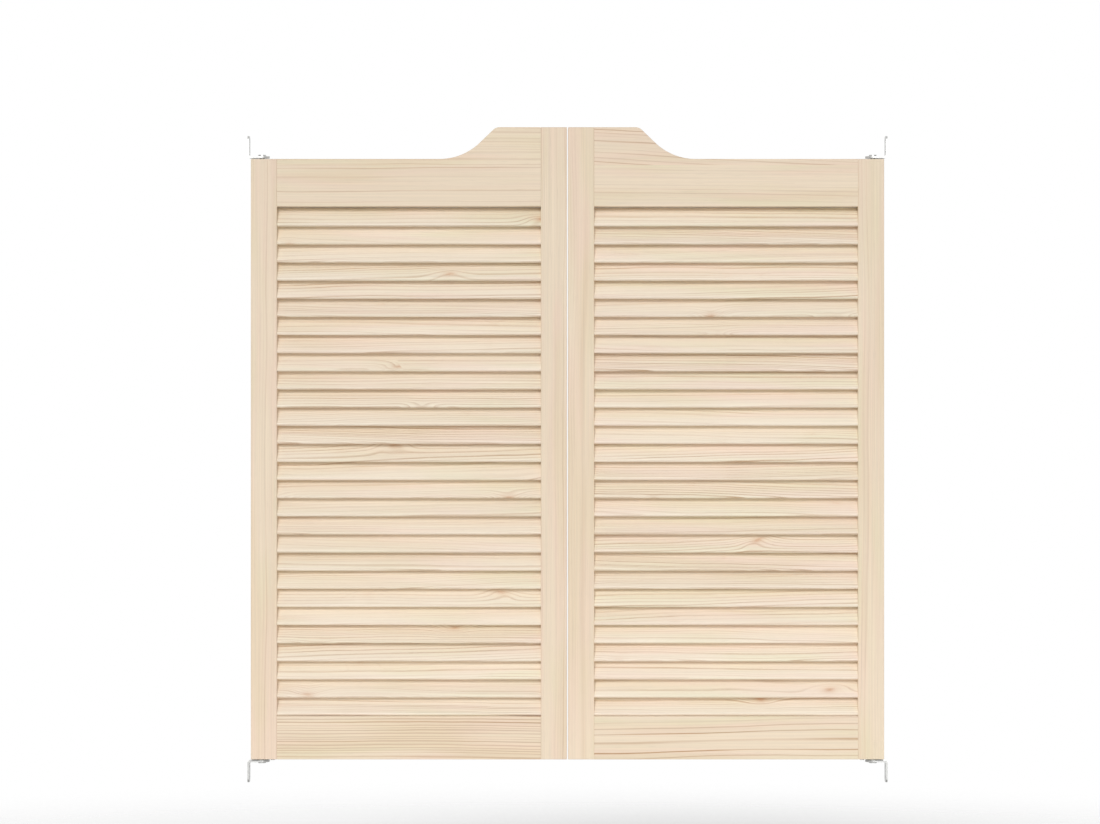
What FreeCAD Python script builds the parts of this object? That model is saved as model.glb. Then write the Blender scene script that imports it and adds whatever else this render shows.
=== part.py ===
import FreeCAD, Part
import math
import os

# A pair of louvred cafe doors on double-acting spring pivots. Millimetres.
#
# Frame: X runs across the opening from the left jamb face (x = 0) to the right
# one, Y runs from the front (-Y) to the back, Z is up. The origin lies midway
# between the two screw holes of the left foot bracket, on the jamb face. The left
# leaf is modelled in place and the right leaf is its mirror image.

# Leaves
leaf_width = 533.4
leaf_thickness = 28.0
centre_gap = 2.0            # between the two meeting stiles
jamb_gap = 6.0              # between a hinge stile and its jamb
crest_height = 1067.0       # at the meeting edge
shoulder_height = 1013.4    # at the hinge edge
stile_width = 44.0
bottom_rail_height = 73.0
top_rail_lift = 933.1       # underside of the top rail above the foot of the leaf
glue_line_drop = 10.3       # joint between rail and crest board, below the shoulder
eased_edge = 0.7            # chamfer along the edges of stiles and rails

# Ogee of the crest: flat, convex arc, straight slope, concave arc, flat
crest_flat = 114.8          # half width of the flat crest, from the centre plane
crest_convex_radius = 15.3
crest_slope = 44.0          # degrees
crest_concave_radius = 98.3

# Louvre slats
slat_count = 28
slat_pitch = 30.605
slat_width = 38.0
slat_thickness = 6.8
slat_nose_radius = 5.0
slat_tilt = 34.0            # degrees from upright, lower edge to the front
first_nose_height = 899.6   # lowest point of the top slat above the foot of the leaf
slat_insertion = 6.0
slats_per_node = 2

# Pockets in the stiles that seat the slats
pocket_depth = 6.2
pocket_clearance = 0.1
pocket_corner_cut = 1.2     # off the two corners nearest the faces of the stile
cutter_overhang = 1.0       # how far a pocket's cutter stands out of the stile

# Glued tenons of the rails
tenon_thickness = 9.0
tenon_shoulder = 16.0       # height of the shoulder above and below the tenon
tenon_in_hinge_stile = 16.0
tenon_in_meeting_stile = 25.0
mortise_clearance = 0.1
mortise_end_space = 1.0

# Pivots
pivot_setback = 18.0        # pivot axis from the hinge edge of the leaf
running_clearance = 0.05    # radial, pin in bush
pin_radius = 4.0

# Jamb brackets
bracket_width = 26.0
bracket_thickness = 3.0
bracket_leg = 37.0          # height of the leg, with the thickness of the tab
bracket_bend_radius = 2.0
bracket_corner_cut = 5.0
hole_spacing = 18.0
hole_to_leg_end = 8.0
screw_hole_radius = 2.3

# Foot pivot: spindle, washer, sleeve, bush, spring and screws
washer_radius = 9.0
washer_thickness = 1.9
washer_gap = 0.1
rivet_radius = 6.5
rivet_height = 2.0
sleeve_radius = 8.0
sleeve_bore_radius = 6.4
sleeve_length = 48.0
sleeve_end_thickness = 2.5
flange_thickness = 2.5
flange_width = 22.0
flange_reach_out = 11.0     # from the axis towards the jamb
flange_reach_in = 24.0      # from the axis towards the slats
flange_corner_cut = 4.0
seat_clearance = 0.1
foot_bush_length = 15.7
foot_bush_recess = 0.3
spring_wire = 1.9           # square wire
spring_coil_radius = 5.1    # to the middle of the wire
spring_pitch = 2.2
spring_turns = 8
spring_sides = 10           # straight lengths that make one turn
spring_lift = 18.3          # middle of the first coil above the foot of the leaf
spring_leg = 5.0            # length of the leg let into the bush
spindle_height = 40.0       # above the foot of the leaf
spindle_slot_depth = 5.5
screw_setback = 18.5        # from the axis to the two sleeve screws
screw_spread = 6.0          # half the distance between the two screws
screw_length = 14.0         # from under the head
screw_radius = 1.8
screw_head_radius = 3.3     # across the corners of the hexagon
screw_head_height = 1.5

# Head pivot: bush and drop pin
head_gap = 2.0              # between the top of the stile and the bracket
head_bush_radius = 6.5
head_bush_length = 30.0
head_pin_reach = 26.0       # below the top of the stile
head_pin_cap_radius = 6.5
head_pin_cap_height = 2.5
tiny = 1e-6                 # tolerance when edges are picked by their place

# Worked out from the above
foot_z = bracket_leg - hole_to_leg_end - hole_spacing / 2 + washer_thickness + washer_gap
hinge_edge = jamb_gap
meeting_edge = jamb_gap + leaf_width
panel_left = hinge_edge + stile_width
panel_right = meeting_edge - stile_width
centre_x = meeting_edge + centre_gap / 2
pivot_x = hinge_edge + pivot_setback
half_thickness = leaf_thickness / 2
shoulder_z = foot_z + shoulder_height
crest_z = foot_z + crest_height
bottom_rail_z = foot_z + bottom_rail_height
top_rail_z = foot_z + top_rail_lift
glue_line_z = shoulder_z - glue_line_drop
tab_top_z = foot_z - washer_thickness - washer_gap
head_tab_z = shoulder_z + head_gap


def vec(x, y, z):
    return FreeCAD.Vector(x, y, z)


def line(start, end):
    return Part.LineSegment(start, end).toShape()


def arc(start, middle, end):
    return Part.Arc(start, middle, end).toShape()


def cylinder(radius, height, base, axis=vec(0, 0, 1)):
    return Part.makeCylinder(radius, height, base, axis)


def arc_about(centre, radius, from_angle, to_angle, across, up):
    """Arc about centre in the plane of two unit vectors, angles in degrees from across."""
    points = []
    for angle in (from_angle, (from_angle + to_angle) / 2, to_angle):
        turn = math.radians(angle)
        points.append(centre + across * (radius * math.cos(turn)) + up * (radius * math.sin(turn)))
    return arc(*points)


def polygon_face(points):
    return Part.Face(Part.makePolygon(points + points[:1]))


def block(low, high):
    """Box between two opposite corners."""
    size = high - low
    return Part.makeBox(size.x, size.y, size.z, low)


def level_edges(solid, height):
    """Edges that lie level at the given height."""
    return [
        edge
        for edge in solid.Edges
        if all(abs(vertex.Z - height) < tiny for vertex in edge.Vertexes)
    ]


def slat_point(centre, along, across):
    """Point of a slat's section: along its width, upper edge positive, and across to its front."""
    turn = math.radians(slat_tilt)
    y = along * math.sin(turn) - across * math.cos(turn)
    z = along * math.cos(turn) + across * math.sin(turn)
    return centre + vec(0, y, z)


def slat(x_range, z):
    """Slat with two flats and two rounded noses, its middle at height z."""
    centre = vec(x_range[0], 0, z)
    tip = slat_width / 2
    half = slat_thickness / 2
    flat = tip - slat_nose_radius + math.sqrt(slat_nose_radius**2 - half**2)
    lower_front = slat_point(centre, -flat, half)
    lower_back = slat_point(centre, -flat, -half)
    upper_back = slat_point(centre, flat, -half)
    upper_front = slat_point(centre, flat, half)
    edges = [
        arc(lower_front, slat_point(centre, -tip, 0), lower_back),
        line(lower_back, upper_back),
        arc(upper_back, slat_point(centre, tip, 0), upper_front),
        line(upper_front, lower_front),
    ]
    return Part.Face(Part.Wire(edges)).extrude(vec(x_range[1] - x_range[0], 0, 0))


def slat_pockets(x_range):
    """The tilted slots that are cut in a stile, two corners cut to clear the stile's faces."""
    tip = slat_width / 2 + pocket_clearance
    half = slat_thickness / 2 + pocket_clearance
    cut = pocket_corner_cut
    outline = (
        (-tip, half - cut),
        (-tip, -half),
        (tip - cut, -half),
        (tip, cut - half),
        (tip, half),
        (cut - tip, half),
    )
    length = vec(x_range[1] - x_range[0], 0, 0)
    pockets = []
    for z in slat_heights():
        centre = vec(x_range[0], 0, z)
        corners = [slat_point(centre, along, across) for along, across in outline]
        pockets.append(polygon_face(corners).extrude(length))
    return pockets


def slat_drop():
    """Distance from a slat's middle down to the lowest point of its nose."""
    turn = math.radians(slat_tilt)
    return (slat_width / 2 - slat_nose_radius) * math.cos(turn) + slat_nose_radius


def slat_heights():
    """Middle heights of the slats, from the top one down."""
    top = foot_z + first_nose_height + slat_drop()
    return [top - slat_pitch * number for number in range(slat_count)]


def slats():
    """Node name and compound for each group of neighbouring slats."""
    x_range = (panel_left - slat_insertion, panel_right + slat_insertion)
    solids = [slat(x_range, z) for z in slat_heights()]
    groups = {}
    for first in range(0, slat_count, slats_per_node):
        name = "slats_%02d_%02d" % (first + 1, first + slats_per_node)
        groups[name] = Part.makeCompound(solids[first : first + slats_per_node])
    return groups


def rail_tenons(low_z, high_z, clearance, end_space):
    """The two tenons of a rail, or their mortises once clearance and end space are given."""
    half = tenon_thickness / 2 + clearance
    low = low_z + tenon_shoulder - clearance
    high = high_z - tenon_shoulder + clearance
    ends = (
        (panel_left - tenon_in_hinge_stile - end_space, panel_left),
        (panel_right, panel_right + tenon_in_meeting_stile + end_space),
    )
    return [block(vec(x0, -half, low), vec(x1, half, high)) for x0, x1 in ends]


def mortises():
    bottom = rail_tenons(foot_z, bottom_rail_z, mortise_clearance, mortise_end_space)
    top = rail_tenons(top_rail_z, glue_line_z, mortise_clearance, mortise_end_space)
    return bottom + top


def stile(x_range, top_z):
    """Upright with all its edges eased, before its pockets and bores."""
    low = vec(x_range[0], -half_thickness, foot_z)
    solid = block(low, vec(x_range[1], half_thickness, top_z))
    return solid.makeChamfer(eased_edge, solid.Edges)


def hinge_stile():
    cuts = slat_pockets((panel_left - pocket_depth, panel_left + cutter_overhang)) + mortises()
    return stile((hinge_edge, panel_left), shoulder_z).cut(
        cuts + [sleeve_seat(), head_bush_seat()]
    )


def meeting_stile():
    cuts = slat_pockets((panel_right - cutter_overhang, panel_right + pocket_depth)) + mortises()
    return stile((panel_right, meeting_edge), crest_z).cut(cuts)


def rail(low_z, high_z, eased_heights):
    """Straight rail with a tenon at each end, its long edges eased at the given heights."""
    low = vec(panel_left, -half_thickness, low_z)
    solid = block(low, vec(panel_right, half_thickness, high_z))
    long_edges = [
        edge
        for height in eased_heights
        for edge in level_edges(solid, height)
        if edge.Length > leaf_thickness + tiny
    ]
    solid = solid.makeChamfer(eased_edge, long_edges)
    return solid.fuse(rail_tenons(low_z, high_z, 0.0, 0.0)).removeSplitter()


def bottom_rail():
    return rail(foot_z, bottom_rail_z, (foot_z, bottom_rail_z))


def top_rail():
    return rail(top_rail_z, glue_line_z, (top_rail_z,))


def ogee_edges(y):
    """Top edges of the crest board from the meeting stile to the hinge stile."""
    slope = math.radians(crest_slope)
    across = vec(-1, 0, 0)
    up = vec(0, 0, 1)
    flat_end = vec(centre_x - crest_flat, y, crest_z)
    convex_centre = flat_end - up * crest_convex_radius
    convex = arc_about(convex_centre, crest_convex_radius, 90, 90 - crest_slope, across, up)
    slope_top = convex.Vertexes[-1].Point
    concave_rise = crest_concave_radius * (1 - math.cos(slope))
    fall = slope_top.z - (shoulder_z + concave_rise)
    slope_end = slope_top + across * (fall / math.tan(slope)) - up * fall
    concave_centre = slope_end + across * (crest_concave_radius * math.sin(slope))
    concave_centre.z = shoulder_z + crest_concave_radius
    concave = arc_about(
        concave_centre, crest_concave_radius, 270 - crest_slope, 270, across, up
    )
    return [
        line(vec(panel_right, y, crest_z), flat_end),
        convex,
        line(slope_top, slope_end),
        concave,
        line(concave.Vertexes[-1].Point, vec(panel_left, y, shoulder_z)),
    ]


def crest_board():
    """Board glued on top of the top rail, cut to the ogee."""
    y = -half_thickness
    edges = ogee_edges(y)
    edges.append(line(vec(panel_left, y, shoulder_z), vec(panel_left, y, glue_line_z)))
    edges.append(line(vec(panel_left, y, glue_line_z), vec(panel_right, y, glue_line_z)))
    edges.append(line(vec(panel_right, y, glue_line_z), vec(panel_right, y, crest_z)))
    solid = Part.Face(Part.Wire(edges)).extrude(vec(0, leaf_thickness, 0))
    top_edges = [
        edge
        for edge in solid.Edges
        if all(vertex.Z > shoulder_z - tiny for vertex in edge.Vertexes)
        and abs(edge.Vertexes[0].Y - edge.Vertexes[-1].Y) < tiny
        and abs(edge.Vertexes[0].X - edge.Vertexes[-1].X) > tiny
    ]
    return solid.makeChamfer(eased_edge, top_edges)


def bracket(tab_z, leg_end_z):
    """Bent steel angle: leg on the jamb, tab round-ended about the pivot axis.

    tab_z is the face of the tab that looks at the leaf, leg_end_z the free end of the leg.
    """
    away = 1 if leg_end_z > tab_z else -1
    across = vec(1, 0, 0)
    up = vec(0, 0, away)
    half_width = bracket_width / 2
    tab_end = pivot_x + half_width
    outer_radius = bracket_bend_radius + bracket_thickness
    y = -half_width
    bend = vec(outer_radius, y, tab_z + away * outer_radius)
    edges = [
        line(vec(0, y, leg_end_z), vec(0, y, bend.z)),
        arc_about(bend, outer_radius, 180, 270, across, up),
        line(vec(bend.x, y, tab_z), vec(tab_end, y, tab_z)),
        line(vec(tab_end, y, tab_z), vec(tab_end, y, tab_z + away * bracket_thickness)),
        line(
            vec(tab_end, y, tab_z + away * bracket_thickness),
            vec(bend.x, y, tab_z + away * bracket_thickness),
        ),
        arc_about(bend, bracket_bend_radius, 270, 180, across, up),
        line(vec(bracket_thickness, y, bend.z), vec(bracket_thickness, y, leg_end_z)),
        line(vec(bracket_thickness, y, leg_end_z), vec(0, y, leg_end_z)),
    ]
    solid = Part.Face(Part.Wire(edges)).extrude(vec(0, bracket_width, 0))
    low = min(tab_z, leg_end_z)
    height = abs(leg_end_z - tab_z)
    plan = Part.makeBox(pivot_x, bracket_width, height, vec(0, y, low))
    plan = plan.fuse(cylinder(half_width, height, vec(pivot_x, 0, low)))
    solid = solid.common(plan)
    corners = [
        edge
        for edge in level_edges(solid, leg_end_z)
        if abs(edge.Length - bracket_thickness) < tiny
    ]
    solid = solid.makeChamfer(bracket_corner_cut, corners)
    first_hole = leg_end_z - away * hole_to_leg_end
    holes = [
        cylinder(screw_hole_radius, bracket_thickness, vec(0, 0, z), across)
        for z in (first_hole, first_hole - away * hole_spacing)
    ]
    holes.append(cylinder(pin_radius + running_clearance, height, vec(pivot_x, 0, low)))
    return solid.cut(holes)


def foot_bracket():
    return bracket(tab_top_z, tab_top_z - bracket_leg)


def head_bracket():
    return bracket(head_tab_z, head_tab_z + bracket_leg)


def post(radius, low_z, high_z):
    """Round bar on the pivot axis."""
    return cylinder(radius, high_z - low_z, vec(pivot_x, 0, low_z))


def bushing(outer_radius, low_z, high_z):
    """Tube on the pivot axis, bored to run on the pins."""
    return post(outer_radius, low_z, high_z).cut(
        post(pin_radius + running_clearance, low_z, high_z)
    )


def across_slot(width, low_z, high_z, reach):
    """Slot on the pivot axis, cut along X from -reach[0] to +reach[1]."""
    low = vec(pivot_x - reach[0], -width / 2, low_z)
    return block(low, vec(pivot_x + reach[1], width / 2, high_z))


def foot_spindle():
    """Riveted into the tab, slotted across its top for the spring."""
    under_tab = tab_top_z - bracket_thickness
    top = foot_z + spindle_height
    solid = post(rivet_radius, under_tab - rivet_height, under_tab)
    solid = solid.fuse(post(pin_radius, under_tab, top)).removeSplitter()
    width = spring_wire + 2 * seat_clearance
    reach = (2 * pin_radius, 2 * pin_radius)
    return solid.cut(across_slot(width, top - spindle_slot_depth, top, reach))


def foot_washer():
    return bushing(washer_radius, tab_top_z, tab_top_z + washer_thickness)


def flange_plate(growth):
    """Plate let into the foot of the stile, its four corners cut."""
    side = flange_width / 2 + growth
    low = vec(pivot_x - flange_reach_out - growth, -side, foot_z)
    high = vec(pivot_x + flange_reach_in + growth, side, foot_z + flange_thickness)
    plate = block(low, high)
    upright = [edge for edge in plate.Edges if abs(edge.Length - flange_thickness) < tiny]
    return plate.makeChamfer(flange_corner_cut, upright)


def screw_places():
    return [vec(pivot_x + screw_setback, side * screw_spread, foot_z) for side in (-1, 1)]


def screw_shanks(growth):
    """Shanks of the two sleeve screws, or the holes for them once growth is given."""
    return [
        cylinder(screw_radius + growth, screw_length + growth, place) for place in screw_places()
    ]


def sleeve_screws():
    """Two hexagon-headed screws that hold the sleeve up into the stile."""
    screws = []
    for place, shank in zip(screw_places(), screw_shanks(0.0)):
        corners = [
            place + vec(math.cos(turn), math.sin(turn), 0) * screw_head_radius
            for turn in (number * math.pi / 3 for number in range(6))
        ]
        head = polygon_face(corners).extrude(vec(0, 0, -screw_head_height))
        screws.append(head.fuse(shank))
    return Part.makeCompound(screws)


def pivot_sleeve():
    """Flanged steel sleeve, closed at the top, that houses the bush and the spring."""
    solid = flange_plate(0.0).fuse(post(sleeve_radius, foot_z, foot_z + sleeve_length))
    bore = post(sleeve_bore_radius, foot_z, foot_z + sleeve_length - sleeve_end_thickness)
    return solid.cut([bore] + screw_shanks(seat_clearance)).removeSplitter()


def sleeve_seat():
    """What is bored and let into the foot of the hinge stile for the sleeve and its screws."""
    top = foot_z + sleeve_length + seat_clearance
    sleeve = post(sleeve_radius + seat_clearance, foot_z, top)
    return flange_plate(seat_clearance).fuse([sleeve] + screw_shanks(seat_clearance))


def pivot_bush():
    """Bush in the mouth of the sleeve, notched for the fixed leg of the spring."""
    low = foot_z + foot_bush_recess
    bush = bushing(sleeve_bore_radius, low, low + foot_bush_length)
    width = spring_wire + 2 * seat_clearance
    notch_z = foot_z + spring_lift - spring_leg - spring_wire / 2
    top = foot_z + spring_lift
    return bush.cut(across_slot(width, notch_z, top, (0, 2 * pin_radius)))


def spring_coil():
    """Square wire round a many-sided helix, each length closed by flat triangles."""
    half_wire = spring_wire / 2
    mitre = math.cos(math.pi / spring_sides)
    rings = []
    for number in range(spring_turns * spring_sides + 1):
        turn = 2 * math.pi * number / spring_sides
        rise = foot_z + spring_lift + spring_pitch * number / spring_sides
        outward = vec(math.cos(turn), math.sin(turn), 0)
        rings.append(
            [
                vec(pivot_x, 0, rise + lift * half_wire)
                + outward * ((spring_coil_radius + side * half_wire) / mitre)
                for side, lift in ((-1, -1), (1, -1), (1, 1), (-1, 1))
            ]
        )
    faces = [polygon_face(rings[0]), polygon_face(rings[-1])]
    for ring, after in zip(rings, rings[1:]):
        for corner in range(4):
            faces.append(polygon_face([ring[corner - 1], ring[corner], after[corner]]))
            faces.append(polygon_face([ring[corner - 1], after[corner], after[corner - 1]]))
    return Part.makeSolid(Part.makeShell(faces))


def pivot_spring():
    """Torsion spring: one leg down into the bush, the other across the slot of the spindle."""
    half_wire = spring_wire / 2
    coil_z = foot_z + spring_lift
    top_z = coil_z + spring_pitch * spring_turns
    inner = spring_coil_radius - half_wire
    lower_leg = block(
        vec(pivot_x + inner, -half_wire, coil_z - spring_leg),
        vec(pivot_x + inner + spring_wire, half_wire, coil_z),
    )
    upper_leg = block(
        vec(pivot_x - pin_radius, -half_wire, top_z - half_wire),
        vec(pivot_x + spring_coil_radius, half_wire, top_z + half_wire),
    )
    return spring_coil().fuse([lower_leg, upper_leg]).removeSplitter()


def head_bush():
    return bushing(head_bush_radius, shoulder_z - head_bush_length, shoulder_z)


def head_bush_seat():
    return post(head_bush_radius + seat_clearance, shoulder_z - head_bush_length, shoulder_z)


def head_pin():
    """Drop pin: cap on the bracket, shank down into the bush."""
    seat = head_tab_z + bracket_thickness
    cap = post(head_pin_cap_radius, seat, seat + head_pin_cap_height)
    return cap.fuse(post(pin_radius, shoulder_z - head_pin_reach, seat)).removeSplitter()


def left_pieces():
    pieces = {
        "hinge_stile": hinge_stile(),
        "meeting_stile": meeting_stile(),
        "top_rail": top_rail(),
        "top_rail_crest": crest_board(),
        "bottom_rail": bottom_rail(),
        "foot_bracket": foot_bracket(),
        "foot_spindle": foot_spindle(),
        "foot_washer": foot_washer(),
        "pivot_sleeve": pivot_sleeve(),
        "pivot_bush": pivot_bush(),
        "pivot_spring": pivot_spring(),
        "sleeve_screws": sleeve_screws(),
        "head_bracket": head_bracket(),
        "head_pin": head_pin(),
        "head_bush": head_bush(),
    }
    pieces.update(slats())
    return pieces


def main():
    os.makedirs("parts", exist_ok=True)
    for name, shape in left_pieces().items():
        mirrored = shape.mirror(vec(centre_x, 0, 0), vec(1, 0, 0))
        shape.exportStep("parts/left_" + name + ".step")
        mirrored.exportStep("parts/right_" + name + ".step")


main()
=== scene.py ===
import math

import bpy
import numpy as np
from bpy.props import FloatProperty, FloatVectorProperty, IntProperty, PointerProperty
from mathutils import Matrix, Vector


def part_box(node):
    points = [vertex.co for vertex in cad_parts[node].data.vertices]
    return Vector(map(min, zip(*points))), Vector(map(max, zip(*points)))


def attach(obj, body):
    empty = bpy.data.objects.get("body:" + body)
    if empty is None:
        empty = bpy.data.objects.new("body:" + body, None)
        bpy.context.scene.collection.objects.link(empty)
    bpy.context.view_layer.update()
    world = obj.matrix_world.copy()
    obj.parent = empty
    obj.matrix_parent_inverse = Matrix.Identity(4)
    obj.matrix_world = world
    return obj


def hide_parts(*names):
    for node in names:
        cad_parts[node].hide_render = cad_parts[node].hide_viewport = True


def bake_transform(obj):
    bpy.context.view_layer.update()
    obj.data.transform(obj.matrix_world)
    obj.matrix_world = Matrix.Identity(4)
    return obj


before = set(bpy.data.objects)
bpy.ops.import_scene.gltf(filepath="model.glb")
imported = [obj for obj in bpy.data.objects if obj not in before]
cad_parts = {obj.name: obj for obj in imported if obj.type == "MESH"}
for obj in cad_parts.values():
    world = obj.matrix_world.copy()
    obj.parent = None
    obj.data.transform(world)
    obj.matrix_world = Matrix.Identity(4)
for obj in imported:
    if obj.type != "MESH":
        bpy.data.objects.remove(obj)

bl_info = {
    "name": "Louvred cafe doors",
    "version": (1, 0, 0),
    "blender": (4, 5, 0),
    "location": "View3D > Sidebar > Cafe doors",
    "description": "Dresses a pair of louvred pine doors and their spring pivots, and lights them",
    "category": "Object",
}

SIDES = ("left", "right")
STILES = ("hinge_stile", "meeting_stile")
RAILS = ("top_rail", "top_rail_crest", "bottom_rail")
STEEL_PARTS = (
    "foot_bracket",
    "foot_spindle",
    "head_bracket",
    "head_pin",
    "pivot_sleeve",
    "sleeve_screws",
)
NYLON_PARTS = ("foot_washer", "pivot_bush", "head_bush")

# Slats are numbered from the top down, and each CAD node holds two of them, named by the first.
# A slat's seed is its number added to its leaf's.
SLATS_IN_LEAF = 28
PAIRS = range(1, SLATS_IN_LEAF, 2)
SLAT_SEEDS = {"left": 100, "right": 200}

# Faces of new pieces that meet at more than this keep a sharp edge.
SHARP_ANGLE = math.radians(40)

# Straight lengths in a spring's lower bend, in its turn inwards and in one corner of its wire.
BEND_STEPS = 6
INWARD_STEPS = 8
CORNER_STEPS = 3

# The rendered picture in its own points: its width and its middle, and from its upper left
# corner the line midway between the leaves and the foot of the leaves.
PICTURE_WIDTH = 1100
PICTURE_MIDDLE = (550, 412)
MIDLINE_FROM_LEFT = 567.5
FOOT_FROM_TOP = 759.45

# Each light's settings, and -1 where it comes from the mirror image of its place.
LIGHTS = {
    "key": ("key", 1),
    "top": ("top", 1),
    "fill": ("fill", 1),
    "back": ("back", 1),
    "right_side": ("side", 1),
    "left_side": ("side", -1),
}

# How each board was sawn: its seed, the pith across and through from its middle and the rings'
# drift along it, the ring spacing and the width of the late wood in metres, how much the late
# wood shows, how alike its lines are, and its share of knots.
CUTS = {
    "left_hinge_stile": (3.1, 0.09, 0.05, 0.003, 0.0060, 0.0026, 0.40, 0.1, 0.0),
    "left_meeting_stile": (8.4, -0.12, 0.03, -0.002, 0.0052, 0.0026, 0.40, 0.1, 0.0),
    "right_meeting_stile": (5.7, 0.10, 0.08, 0.002, 0.0064, 0.0030, 0.22, 0.1, 0.0),
    "right_hinge_stile": (17.9, -0.08, 0.06, -0.003, 0.0056, 0.0030, 0.22, 0.1, 0.0),
    "left_top_rail": (21.3, 0.16, 0.02, 0.004, 0.0062, 0.0022, 0.80, 0.0, 0.2),
    "left_top_rail_crest": (25.2, -0.14, 0.02, 0.012, 0.0060, 0.0024, 0.52, 0.4, 0.0),
    "left_bottom_rail": (30.6, 0.25, 0.01, -0.006, 0.0050, 0.0020, 1.10, 0.5, 0.0),
    "right_top_rail": (34.4, 0.13, 0.04, -0.008, 0.0060, 0.0022, 0.42, 0.1, 0.5),
    "right_top_rail_crest": (41.8, -0.11, 0.02, 0.050, 0.0066, 0.0018, 0.90, 0.2, 0.0),
    "right_bottom_rail": (51.7, -0.12, 0.03, -0.018, 0.0125, 0.0024, 1.20, 0.1, 0.0),
}

# The range that each number of a slat's cut is drawn from, in the same units.
SLAT_PITH_ACROSS = (0.02, 0.11)
SLAT_PITH_THROUGH = (0.0, 0.05)
SLAT_DRIFT = (-0.034, 0.034)
SLAT_RING_SPACING = (0.003, 0.0065)
SLAT_CONTRAST = (0.5, 1.0)
SLAT_EVENNESS = (0.1, 0.5)
SLAT_KNOTS = 0.8

# Noises in the wood, drawn out along the grain: features to a metre along it and across it, and
# the detail and roughness of the noise.
WOOD_NOISES = {
    "knot_stray": (14.0, 22.0, 1.0, 0.5),
    "slow_wander": (2.6, 7.0, 1.0, 0.5),
    "quick_wander": (11.0, 60.0, 2.0, 0.5),
    "fade": (4.0, 40.0, 1.0, 0.5),
    "blush": (3.2, 42.0, 1.0, 0.5),
    "straw": (4.1, 30.0, 1.0, 0.5),
    "fibre": (9.0, 1300.0, 2.0, 0.6),
    "ducts": (38.0, 1500.0, 0.0, 0.5),
    "streaks": (3.0, 420.0, 3.0, 0.65),
}
# A board's own place in them lies up to this far along each axis.
NOISE_REACH = 40.0

# Cells in a metre across a board, each of which may hold a knot. Along it they are drawn out.
KNOT_CELLS = 11.0
KNOT_STRETCH = 0.42
# A cell's draw from 0 to 1 at which its knot begins to show, and at which it shows in full.
KNOT_CHANCE = (0.6, 0.8)
# How far a knot strays across, the radius of its heart, of the stain round it and of the bend in
# the rings, and how far the rings move out there, in metres.
KNOT_STRAY = 0.03
KNOT_HEART = 0.0028
KNOT_STAIN = 0.006
KNOT_BEND = 0.013
KNOT_SWELL = 0.016
# How much of the knot colour shows in the heart and in the stain.
HEART_SHARE = 0.45
STAIN_SHARE = 0.4

# The part of the wander that comes and goes quickly along the board.
QUICK_SHARE = 0.16
# Years unlike in width: the features to a ring of a noise that is added to the ring number, how
# many rings it adds at evenness 0, and how many fewer at evenness 1.
YEAR_NOISE = 0.31
YEAR_SPREAD = 2.4
YEAR_EVENED = 2.0
# How far apart the boards lie in that noise, and the years from one seed to the next.
YEAR_REACH = 90.0
SEED_YEARS = 17.0
# Where in a ring, from 0 to 1, the late wood is darkest and may begin at the earliest, and the
# power to which its rise is taken.
RING_PEAK = 0.88
RING_BEGIN = 0.05
RING_POWER = 1.4
# The noise in which the late wood fades, and what is left of it there at evenness 0.
FADE_RANGE = (0.3, 0.6)
FAINTEST = 0.35

# The noise in which each tint comes in, and how much of it a board may have all over.
BLUSH_RANGE = (0.44, 0.72)
STRAW_RANGE = (0.46, 0.74)
BOARD_TINT = 0.12

# What the colour is multiplied by, at each end of a range of noise, or of a share from 0 to 1.
FIBRE_TONE = (0.2, 0.8, 0.968, 1.026)
DUCT_TONE = (0.70, 0.80, 1.0, 0.92)
STREAK_TONE = (0.28, 0.72, 0.935, 1.055)
BOARD_TONE = (0.98, 1.02)
END_GRAIN_TONE = (1.0, 0.80)

# How much smoother late wood is and how much rougher fibres are, and how high each stands.
LATE_GLOSS = 0.10
FIBRE_ROUGHNESS = 0.12
LATE_RELIEF = 0.6
FIBRE_RELIEF = 0.5

# The noise in which metal and nylon are rubbed and in which specks come in, and the specks'
# colour as a share of the rest.
RUBBED_RANGE = (0.42, 0.64)
SPECK_RANGE = (0.58, 0.75)
SPECK_SHADE = 0.35

# Sides of the floor, the shares of its radius at which it begins to fade and has gone, and how
# dark its mottle gets.
FLOOR_SIDES = 96
FLOOR_FADE = (0.45, 0.98)
FLOOR_MOTTLE = 0.99

# Colour sockets of the Mix node, which share their names with its number sockets.
MIX_FIRST = 6
MIX_SECOND = 7
MIX_RESULT = 2


# ---------------------------------------------------------------- settings


def srgb(red, green, blue):
    """Linear colour of a display colour given as three numbers up to 255, by the sRGB curve."""
    shares = np.array((red, green, blue)) / 255
    curved = ((shares + 0.055) / 1.055) ** 2.4
    return tuple(np.where(shares > 0.04045, curved, shares / 12.92).tolist())


def colour(name, description, default):
    return FloatVectorProperty(
        name=name, description=description, subtype="COLOR", size=3, min=0, max=1, default=default
    )


def length(name, description, default):
    return FloatProperty(name=name, description=description, unit="LENGTH", default=default)


def place(name, description, default):
    return FloatVectorProperty(
        name=name, description=description, subtype="TRANSLATION", unit="LENGTH", default=default
    )


def angle(name, description, degrees):
    return FloatProperty(
        name=name, description=description, subtype="ANGLE", default=math.radians(degrees)
    )


def level(name, description, default):
    return FloatProperty(name=name, description=description, min=0, default=default)


def share(name, description, default):
    return FloatProperty(name=name, description=description, min=0, max=1, default=default)


def count(name, description, least, default):
    return IntProperty(name=name, description=description, min=least, default=default)


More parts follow.
